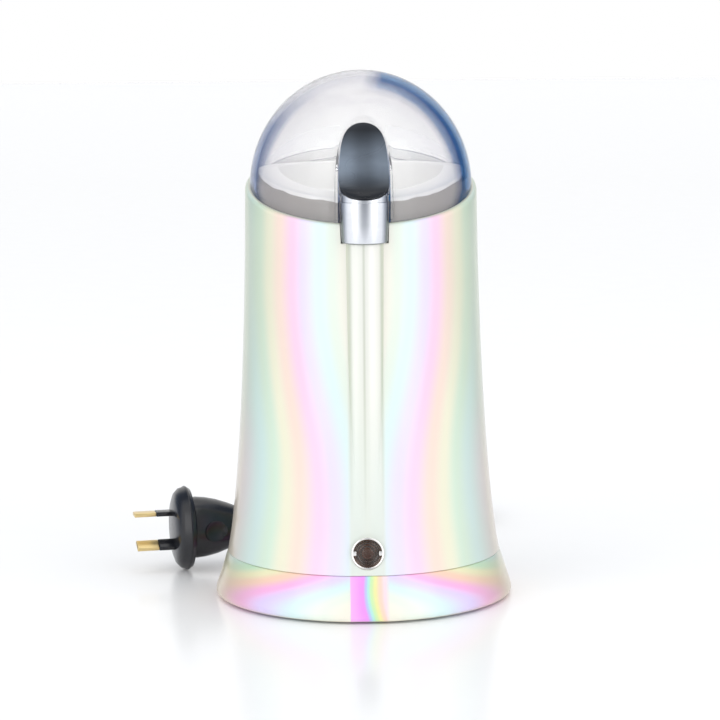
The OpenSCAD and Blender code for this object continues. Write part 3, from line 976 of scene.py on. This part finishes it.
# ---------------------------------------------------------------- lid and bowl
@dataclass
class Lid:
    """Clear dome lid with a pocket round the button."""

    radius: float = 43.0
    top: float = 205.0
    centre: float = 160.0
    wall: float = 2.2
    rim: float = 161.0
    slope: float = 0.28
    button_y: float = -42.8
    pocket: float = 9.85
    pocket_wall: float = 1.5

    def dome(self, name: str, radius: float, top: float, low: float) -> bpy.types.Object:
        """A solid dome whose foot follows the slanted rim at the back.

        Args:
            name: The piece's name.
            radius: Its radius.
            top: Height of its top.
            low: Height of its flat foot.

        Returns:
            The solid.
        """
        count = 26
        outline = [(0.0, low), (radius, low), (radius, 150.0)]
        for i in range(count + 1):
            t = math.pi / 2 * i / count
            outline.append((radius * math.cos(t) if i < count else 0.0,
                            self.centre + (top - self.centre) * math.sin(t)))
        piece = lathe(name, outline, 128, False)

        def skew(v: Vector) -> Point3:
            """Raise the dome's foot at the back to the slanted rim."""
            reach = math.hypot(v.x, v.y)
            back = smooth_step(v.y / reach) if reach > 0.01 and v.z >= self.centre else 0.0
            share = (v.z - self.centre) / (top - self.centre)
            foot = self.centre + self.slope * self.radius * back
            if v.z < self.centre:
                return tuple(v)
            return (v.x, v.y, foot + (top - foot) * share)

        return reshape(piece, skew)

    def build(self) -> None:
        """Make the lid: a shell, a pocket wall and a locating lip."""
        at = (0.0, self.button_y)
        outer = self.dome("clear_dome", self.radius, self.top, 140.0)
        trim(outer, self.rim + 0.2, self.slope, above=False, close=True)
        work(outer, post(self.pocket, 130, 215, at), Join.CUT)
        inner = self.dome("hollow", self.radius - self.wall, self.top - self.wall, 120.0)
        work(inner, post(self.pocket + self.pocket_wall, 100, 215, at), Join.CUT)
        work(outer, inner, Join.CUT)
        room = lathe("room", [(0, 100), (39.9, 100), (39.9, 168.4), (0, 168.5)], 96, False)
        work(outer, room, Join.CUT)
        lip = lathe("lip", [(40.7, 140), (42.3, 140), (42.3, 190), (40.7, 190)], 128)
        for height, above in ((self.rim - 3.4, False), (self.rim + 1.2, True)):
            trim(lip, height, self.slope, above)
            bridge_open_ends(lip)
        work(lip, post(self.pocket, 130, 215, at), Join.CUT)
        work(outer, lip, Join.ADD)
        pick(outer)
        soften = outer.modifiers.new("soften", "BEVEL")
        soften.width, soften.segments, soften.limit_method = 0.35 * MM, 2, "ANGLE"
        soften.angle_limit = math.radians(50)
        bpy.ops.object.modifier_apply(modifier=soften.name)
        outer.visible_shadow = False
        hand_over(settle(outer, 35), Palette.clear, "lid", "clear_plastic", "clear_lid")


@dataclass
class Bowl:
    """Collar, steel bowl, blade and nut."""

    radius: float = 31.5
    floor: float = 115.0
    rim: float = 157.0
    collar: float = 39.5
    collar_top: float = 169.0
    collar_slope: float = 0.28
    collar_back: float = 168.0
    button_y: float = -42.8

    def top_at(self, y: float) -> float:
        """Height of the collar's top, which follows the housing's rim and is level behind."""
        return min(self.collar_top + self.collar_slope * y, self.collar_back)

    def collar_piece(self) -> None:
        """The collar, whose top slopes up towards the back."""
        outline = [(22, 109), (39.5, 109), (39.5, 175), (31.8, 175), (31.8, 115), (22, 115)]
        piece = lathe("bowl_holder", outline, 128)
        trim(piece, self.collar_top, self.collar_slope)
        trim(piece, self.collar_back)
        bridge_open_ends(piece)
        for reach in ((39.0, 40.0), (31.0, 32.5)):
            round_rim(piece, self.top_at, reach, 0.6)
        work(piece, post(9.85, 141.5, 190, (0.0, self.button_y)), Join.CUT)
        hand_over(settle(piece), Palette.collar, "housing", "grey_plastic", "bowl_collar")

    def bowl(self) -> None:
        """The spun steel bowl with a rolled rim."""
        r, wall = self.radius, 0.8
        outline = [(7, self.floor), (24, self.floor)]
        outline += arc((r - 6, self.floor + 6), 6, -90, 0, 8)
        outline += arc((r - 0.55, self.rim - 0.6), 0.55, 0, 180, 8)
        outline += arc((r - 6, self.floor + 6), 6 - wall, 0, -90, 8)
        outline += [(24, self.floor + wall), (12, self.floor + wall), (7, self.floor + wall)]
        piece = lathe("steel_bowl", outline, 128)
        hand_over(settle(piece), Palette.bowl, "housing", "steel", "grinding_bowl")

    def blade(self) -> None:
        """Two pitched wings on a round hub."""
        hub = lathe("blade_wings", [(2.5, 119), (6, 119), (6, 120.5), (2.5, 120.5)], 48)
        for turn in (0.0, math.pi):
            wing = rounded_bar("wing", (4.0, -4.6, 119.0), (25.6, 4.6, 120.4), 0.25)

            def shape(v: Vector, turn: float = turn) -> Point3:
                """Taper, pitch and turn one wing."""
                along = (v.x - 4) / 21.6
                y = v.y * (1 - 0.25 * along) + 1.2 * along * along
                z = v.z + 0.5 * along * (y / 4.6) * (1 if turn else -1)
                c, s = math.cos(turn), math.sin(turn)
                return (v.x * c - y * s, v.x * s + y * c, min(121.3, max(118.4, z)))

            work(hub, reshape(wing, shape), Join.ADD)
        hand_over(settle(hub), Palette.steel, "rotor", "steel", "blade")
        nut = lathe("blade_cap_nut", [(0, 126), (2.5, 126), (2.5, 121.2), (4.9, 121.2),
                                      (4.9, 124.6), (4.5, 125), (3.8, 125),
                                      *arc((0.8, 124), 3, 0, 80, 5), (0, 127)], 48, False)

        def facets(v: Vector) -> Point3:
            """Press the nut's lower part to six flats."""
            reach, turn = math.hypot(v.x, v.y), math.atan2(v.y, v.x)
            if reach < 4.4:
                return tuple(v)
            flat = 4.3 / math.cos((turn % (TAU / 6)) - TAU / 12)
            scale = min(reach, flat) / reach
            return (v.x * scale, v.y * scale, v.z)

        hand_over(settle(reshape(nut, facets)), Palette.bright, "rotor", "steel", "blade_nut")

    def build(self) -> None:
        """Make every piece."""
        self.collar_piece()
        self.bowl()
        self.blade()


# ---------------------------------------------------------------- push button
@dataclass
class Button:
    """Silver sleeve, silver button and its dark hollow thumb rest."""

    y: float = -42.8
    bottom: float = 142.0
    line: float = 157.5
    guided: float = 9.1
    radius: float = 9.45
    stem: float = 7.6
    hollow: float = 1.3
    cover: float = 0.85
    curve: tuple[Point2, ...] = ((-9.6, 159.1), (5.0, 163.6), (0.0, 177.0), (9.6, 186.5))
    steps: int = 96

    def edge(self, along: float) -> float:
        """Height of the thumb rest's edge at a distance behind the button's axis."""
        low, high = 0.0, 1.0
        for _ in range(24):
            middle = (low + high) / 2
            if bezier(self.curve, middle)[0] < along:
                low = middle
            else:
                high = middle
        return bezier(self.curve, middle)[1]

    def seat(self, across: float, along: float) -> float:
        """Height of the thumb rest's surface, hollow from side to side and front to back."""
        share = min(1.0, math.hypot(across, along) / self.radius)
        return self.edge(along) - self.hollow * (1 - share ** 2.5)

    def grow(self, height: float) -> float:
        """How much wider than its guided skirt the button is at a height."""
        return 1 + (self.radius / self.guided - 1) * smooth_step((height - 159.9) / 0.2)

    def sleeve(self) -> None:
        """The fixed sleeve, a little wider at its top."""
        top = self.line - 0.1
        outline = [(2.1, self.bottom), (8.3, self.bottom), (8.7, self.bottom + 0.3),
                   (8.88, self.bottom + 0.9), (9.15, 149.0), (9.42, top - 0.35), (9.4, top - 0.1),
                   (9.28, top), (9.2, top), (9.2, 154.9), (7.9, 154.9), (7.9, 144), (2.1, 144)]
        piece = lathe("silver_sleeve", outline, self.steps, True, (0.0, self.y))
        hand_over(settle(piece), Palette.silver, "housing", "silver_plastic", "button_sleeve")

    def cap(self) -> None:
        """The button: a stem, a guided skirt and a wider top under the thumb rest."""
        low, high = self.line - 0.2, 190.0
        wall = [(self.guided, low + (high - low) * (i / 32) ** 2) for i in range(33)]
        outline = [(0, 150), (self.stem, 150), (self.stem, low), *wall,
                   *[(self.guided * i / 8, high) for i in range(7, -1, -1)]]
        piece = lathe("silver_button", outline, self.steps, False, (0.0, self.y))

        def shape(v: Vector) -> Point3:
            """Bring the top down to the thumb rest and widen it above the sleeve."""
            if v.z < low + 0.01:
                return tuple(v)
            grown = self.radius / self.guided
            across, along = v.x, v.y - self.y
            top = self.seat(across * grown, along * grown) - self.cover
            z = low + (v.z - low) / (high - low) * (top - low)
            grow = self.grow(z)
            return (across * grow, self.y + along * grow, z)

        hand_over(settle(reshape(piece, shape)), Palette.silver, "button", "silver_plastic",
                  "button_cap")

    def dish(self) -> None:
        """The thumb rest: a hollow disc with a rounded edge."""
        wide, rings = self.radius, 16
        outline = [((wide - 0.3) * i / rings, 0.0) for i in range(rings + 1)]
        outline += [(wide - 0.08, -0.1), (wide, -0.32), (wide, -self.cover)]
        outline += [(wide * i / 8, -self.cover) for i in range(7, -1, -1)]
        piece = lathe("thumb_rest", outline, self.steps, False, (0.0, self.y))

        def shape(v: Vector) -> Point3:
            """Lay the disc on the button, narrow where it meets the sleeve."""
            along = v.y - self.y
            z = self.seat(v.x, along) + v.z
            scale = self.grow(z) / self.grow(200.0)
            return (v.x * scale, self.y + along * scale, z)

        reshape(piece, shape)
        hand_over(settle(piece, 60), Palette.dish, "button", "dish_plastic", "thumb_dish")

    def build(self) -> None:
        """Make every piece."""
        self.sleeve()
        self.cap()
        self.dish()


# ---------------------------------------------------------------- pilot lamp
@dataclass
class PilotLamp:
    """Bezel, smoked lens and reflector at the foot of the housing."""

    y: float = -51.9
    z: float = 26.0
    radius: float = 6.2

    def build(self) -> None:
        """Make the bezel, the lens and the reflector."""
        front = -self.y
        bezel = [(4.9, front - 6), (5.85, front - 6), (5.85, front + 0.05),
                 *arc((self.radius - 0.35, front + 0.35), 0.35, -60, 90, 5),
                 *arc((5.75, front + 0.3), 0.35, 90, 170, 4), (5.42, front - 0.6),
                 (4.9, front - 0.8)]
        ring = lay_down(lathe("lamp_rim", bezel, 72), self.z, -1)
        for side in (-1, 1):
            claw = rounded_bar("claw", (side * 5.0 - 0.75, self.y - 0.42, self.z - 0.85),
                               (side * 5.0 + 0.75, self.y + 0.3, self.z + 0.85), 0.2)
            work(ring, claw, Join.ADD)
        hand_over(settle(ring), Palette.bright, "housing", "silver_plastic", "lamp_bezel")
        lens = [(0, front - 2.2), (4.8, front - 2.2), (4.8, front - 0.7), (5.35, front - 0.5),
                (5.35, front - 0.1), (4.9, front + 0.1), (4.5, front - 0.15), (4.0, front + 0.15),
                (3.5, front - 0.1), (3.0, front + 0.2), (2.2, front - 0.05), (1.5, front + 0.25),
                (0.8, front + 0.1), (0, front + 0.3)]
        glass = lay_down(lathe("lamp_window", lens, 72, False), self.z, -1)
        hand_over(settle(glass), Palette.smoked, "housing", "smoked_plastic", "lamp_lens")
        cup = [(2.4, front - 7.9), (4.85, front - 7.9), (4.85, front - 2.4), (4.6, front - 2.4),
               (3.6, front - 5.0), (2.4, front - 6.6)]
        mirror = lay_down(lathe("lamp_cup", cup, 60), self.z, -1)
        hand_over(settle(mirror), Palette.cup, "housing", "white_plastic", "lamp_reflector")


# ---------------------------------------------------------------- mains lead and plug
LEAD_ROUTE: tuple[Point3, ...] = (
    (0, 80, 10), (0, 85, 9), (-0.5, 90, 7.2), (-1.5, 95, 5.4), (-3, 100, 4.1), (-5.5, 106, 3.2),
    (-8, 112, 3), (-11, 119, 3), (-13.5, 127, 3), (-15.5, 134, 3), (-16, 140, 3))
TAIL_ROUTE: tuple[Point3, ...] = (
    (20, 104, 9), (14, 103.4, 9.4), (8, 101.6, 10.3), (3, 98.8, 11.3), (-1, 95.4, 12),
    (-5, 90.6, 11.6), (-8, 85, 9.9), (-10, 79.5, 7.8), (-11.5, 74, 7), (-14, 67.5, 7.6),
    (-18, 61, 9.6), (-23.5, 56, 12.2), (-30, 53, 15), (-35, 51.8, 16.6), (-39.4, 51.1, 17.3))


@dataclass
class MainsLead:
    """Strain relief, lead with its coil, and the two-pin plug."""

    diameter: float = 6.0
    coil: Point2 = (20.0, 140.0)
    plug_at: Point3 = (-72.7, 44.0, 17.3)
    plug_turn: float = 12.0
    on_lead: list[bpy.types.Object] = field(default_factory=list)

    def coil_points(self) -> list[Point3]:
        """Three and three quarter turns: two on the floor and the rest on top of them."""
        points = []
        step = 15
        for turn in range(step, 1350, step):
            inwards = smooth_step((turn - 290) / 70) - smooth_step((turn - 1010) / 70)
            radius = 36 - 6 * inwards
            height = 3 + 6 * smooth_step((turn - 655) / 65)
            angle = math.radians(180 - turn)
            points.append((self.coil[0] + radius * math.cos(angle),
                           self.coil[1] + radius * math.sin(angle), height))
        return points

    def route(self) -> list[Vector]:
        """The lead's centreline as one smooth line of closely set points."""
        knots = [Vector(p) for p in (*LEAD_ROUTE, *self.coil_points(), *TAIL_ROUTE)]
        line = []
        for i in range(len(knots) - 1):
            a, b, c, d = (knots[max(i - 1, 0)], knots[i], knots[i + 1],
                          knots[min(i + 2, len(knots) - 1)])
            for k in range(3):
                t = k / 3
                line.append(0.5 * (2 * b + (c - a) * t + (2 * a - 5 * b + 4 * c - d) * t * t
                                   + (3 * b - a - 3 * c + d) * t ** 3))
        return [*line, knots[-1]]

    def lead(self) -> None:
        """The lead as one round tube."""
        line = self.route()
        data = bpy.data.curves.new("mains_lead", "CURVE")
        data.dimensions = "3D"
        data.bevel_depth, data.bevel_resolution = self.diameter / 2 * MM, 5
        data.use_fill_caps = True
        spline = data.splines.new("POLY")
        spline.points.add(len(line) - 1)
        for point, place in zip(spline.points, line):
            point.co = (*(place * MM), 1.0)
        spline.use_smooth = True
        piece = bpy.data.objects.new("mains_lead", data)
        bpy.context.collection.objects.link(piece)
        hand_over(piece, Palette.lead, "housing", "rubber", "cord_lead", "cord_coil", "cord_tail")

    def relief(self) -> None:
        """The ribbed strain relief at the back of the ring."""
        outline = [(0, 48), (5.3, 48), (5.3, 50.2), (5, 50.2), (5, 58.2)]
        ribs = 5
        for i in range(ribs):
            start = 59.0 + i * 4.1
            wide = 4.95 - 0.25 * i
            outline += [(wide, start), (wide, start + 2.3), (wide - 0.6, start + 2.6),
                        (wide - 0.6, start + 3.8)]
        outline += [(3.6, 80.0), (0, 80.0)]
        piece = lay_down(lathe("lead_relief", outline, 48, False), 10, 1)
        hand_over(settle(piece), Palette.rubber, "housing", "rubber", "strain_relief")
        self.on_lead.append(piece)

    def at_plug(self, piece: bpy.types.Object) -> bpy.types.Object:
        """Lay a piece made along +Z from tail to pins at the plug's place."""
        turn = math.radians(self.plug_turn)
        c, s = math.cos(turn), math.sin(turn)
        x0, y0, z0 = self.plug_at

        def lay(v: Vector) -> Point3:
            """Tip over to -X, then turn towards the front."""
            x, y, z = -v.z, v.y, v.x
            return (x0 + x * c - y * s, y0 + x * s + y * c, z0 + z)

        return reshape(piece, lay)

    def plug(self) -> None:
        """The plug's moulding with finger hollows, its pins and their sleeves."""
        outline = [(0, -34), (3.5, -34), (3.9, -31), (4.5, -28.4), (6.2, -26), (7.8, -22.6),
                   (9.6, -18.2), (11.2, -13.6), (12.2, -9), (12.6, -5.2), (12.5, -3.6),
                   (13.4, -3.1), (16.2, -2.6), *arc((16.3, -0.9), 0.9, -60, 60, 5),
                   (16.3, 1.6), (14.6, 3.2), (12, 4.1), (8, 4.7), (0, 5)]
        body = lathe("plug_moulding", outline, 80, False)
        for side in (-1, 1):
            scoop = lathe("scoop", [(0, -8), *arc((0, 0), 8, -70, 70, 10), (0, 8)], 48, False)
            reshape(scoop, lambda v, s=side: (v.x * 0.75, s * 13.2 + v.y * 0.45, -13 + v.z * 0.8))
            work(body, scoop, Join.CUT)
        self.add_to_plug(body, Palette.plug, "black_plastic", "plug_body")
        for node, slot, finish, low, high, grow in (
                ("pin_sleeves", "black_plastic", Palette.plug, 4.0, 11.0, 0.1),
                ("plug_pins", "brass", Palette.brass, 11.0, 20.0, 0.0)):
            pair = None
            for side, turn in ((-1, 65), (1, 90)):
                bar = rounded_bar(node + "_pair", (-2.8 - grow, -0.8 - grow, low),
                                  (2.8 + grow, 0.8 + grow, high), 0.35)
                c, s = math.cos(math.radians(turn)), math.sin(math.radians(turn))
                reshape(bar, lambda v, c=c, s=s, k=side: (
                    k * 5.9 + v.x * c - v.y * s, k * 3.4 + v.x * s + v.y * c, v.z))
                pair = bar if pair is None else work(pair, bar, Join.ADD)
            self.add_to_plug(pair, finish, slot, node)

    def add_to_plug(self, piece: bpy.types.Object, finish: Finish, slot: str, node: str) -> None:
        """Place, dress and hand over one of the plug's pieces."""
        hand_over(settle(self.at_plug(piece), 40), finish, "housing", slot, node)
        self.on_lead.append(piece)

    def build(self) -> None:
        """Make the relief and the plug, then the lead that joins them."""
        self.relief()
        self.plug()
        self.lead()


# ---------------------------------------------------------------- pieces that keep their form
INNER: dict[Finish, tuple[str, ...]] = {
    Palette.rubber: ("shaft_seal", "rubber_feet", "motor_dampers"),
    Palette.steel: ("base_screws", "deck_screws", "collar_screws", "damper_screws",
                    "upper_motor_bracket", "lower_motor_bracket", "motor_screws", "motor_shaft",
                    "brush_springs", "button_spring", "switch_bracket"),
    Palette.lamination: ("motor_stator", "armature_core"),
    Palette.copper: ("field_coils", "armature_windings", "commutator"),
    Palette.black: ("base_plate", "cooling_fan", "microswitch", "interlock_guide", "cord_clamp"),
    Palette.brass: ("upper_bearing", "lower_bearing", "brush_holders"),
    Palette.carbon: ("carbon_brushes",),
    Palette.white: ("motor_deck", "push_rod", "interlock_pin", "terminal_block"),
    Palette.amber: ("switch_plunger", "pilot_led")}


def dress_inner_pieces() -> None:
    """Give every node that keeps its own form its finish."""
    for finish, nodes in INNER.items():
        for node in nodes:
            dress(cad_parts[node], finish)
            log.info("%s is dressed", node)


def main() -> None:
    """Build the scene in order."""
    logging.basicConfig(level=logging.INFO, format="%(message)s")
    for make in (fine_grain, brushed_lines, pearl_bands, ring_patch):
        GROUPS[make.__name__] = make()
    studio = Studio()
    studio.camera()
    MainsLead().build()
    Housing().build()
    Bowl().build()
    Button().build()
    PilotLamp().build()
    Lid().build()
    dress_inner_pieces()
    studio.light()
    studio.floor()


if __name__ == "__main__":
    main()
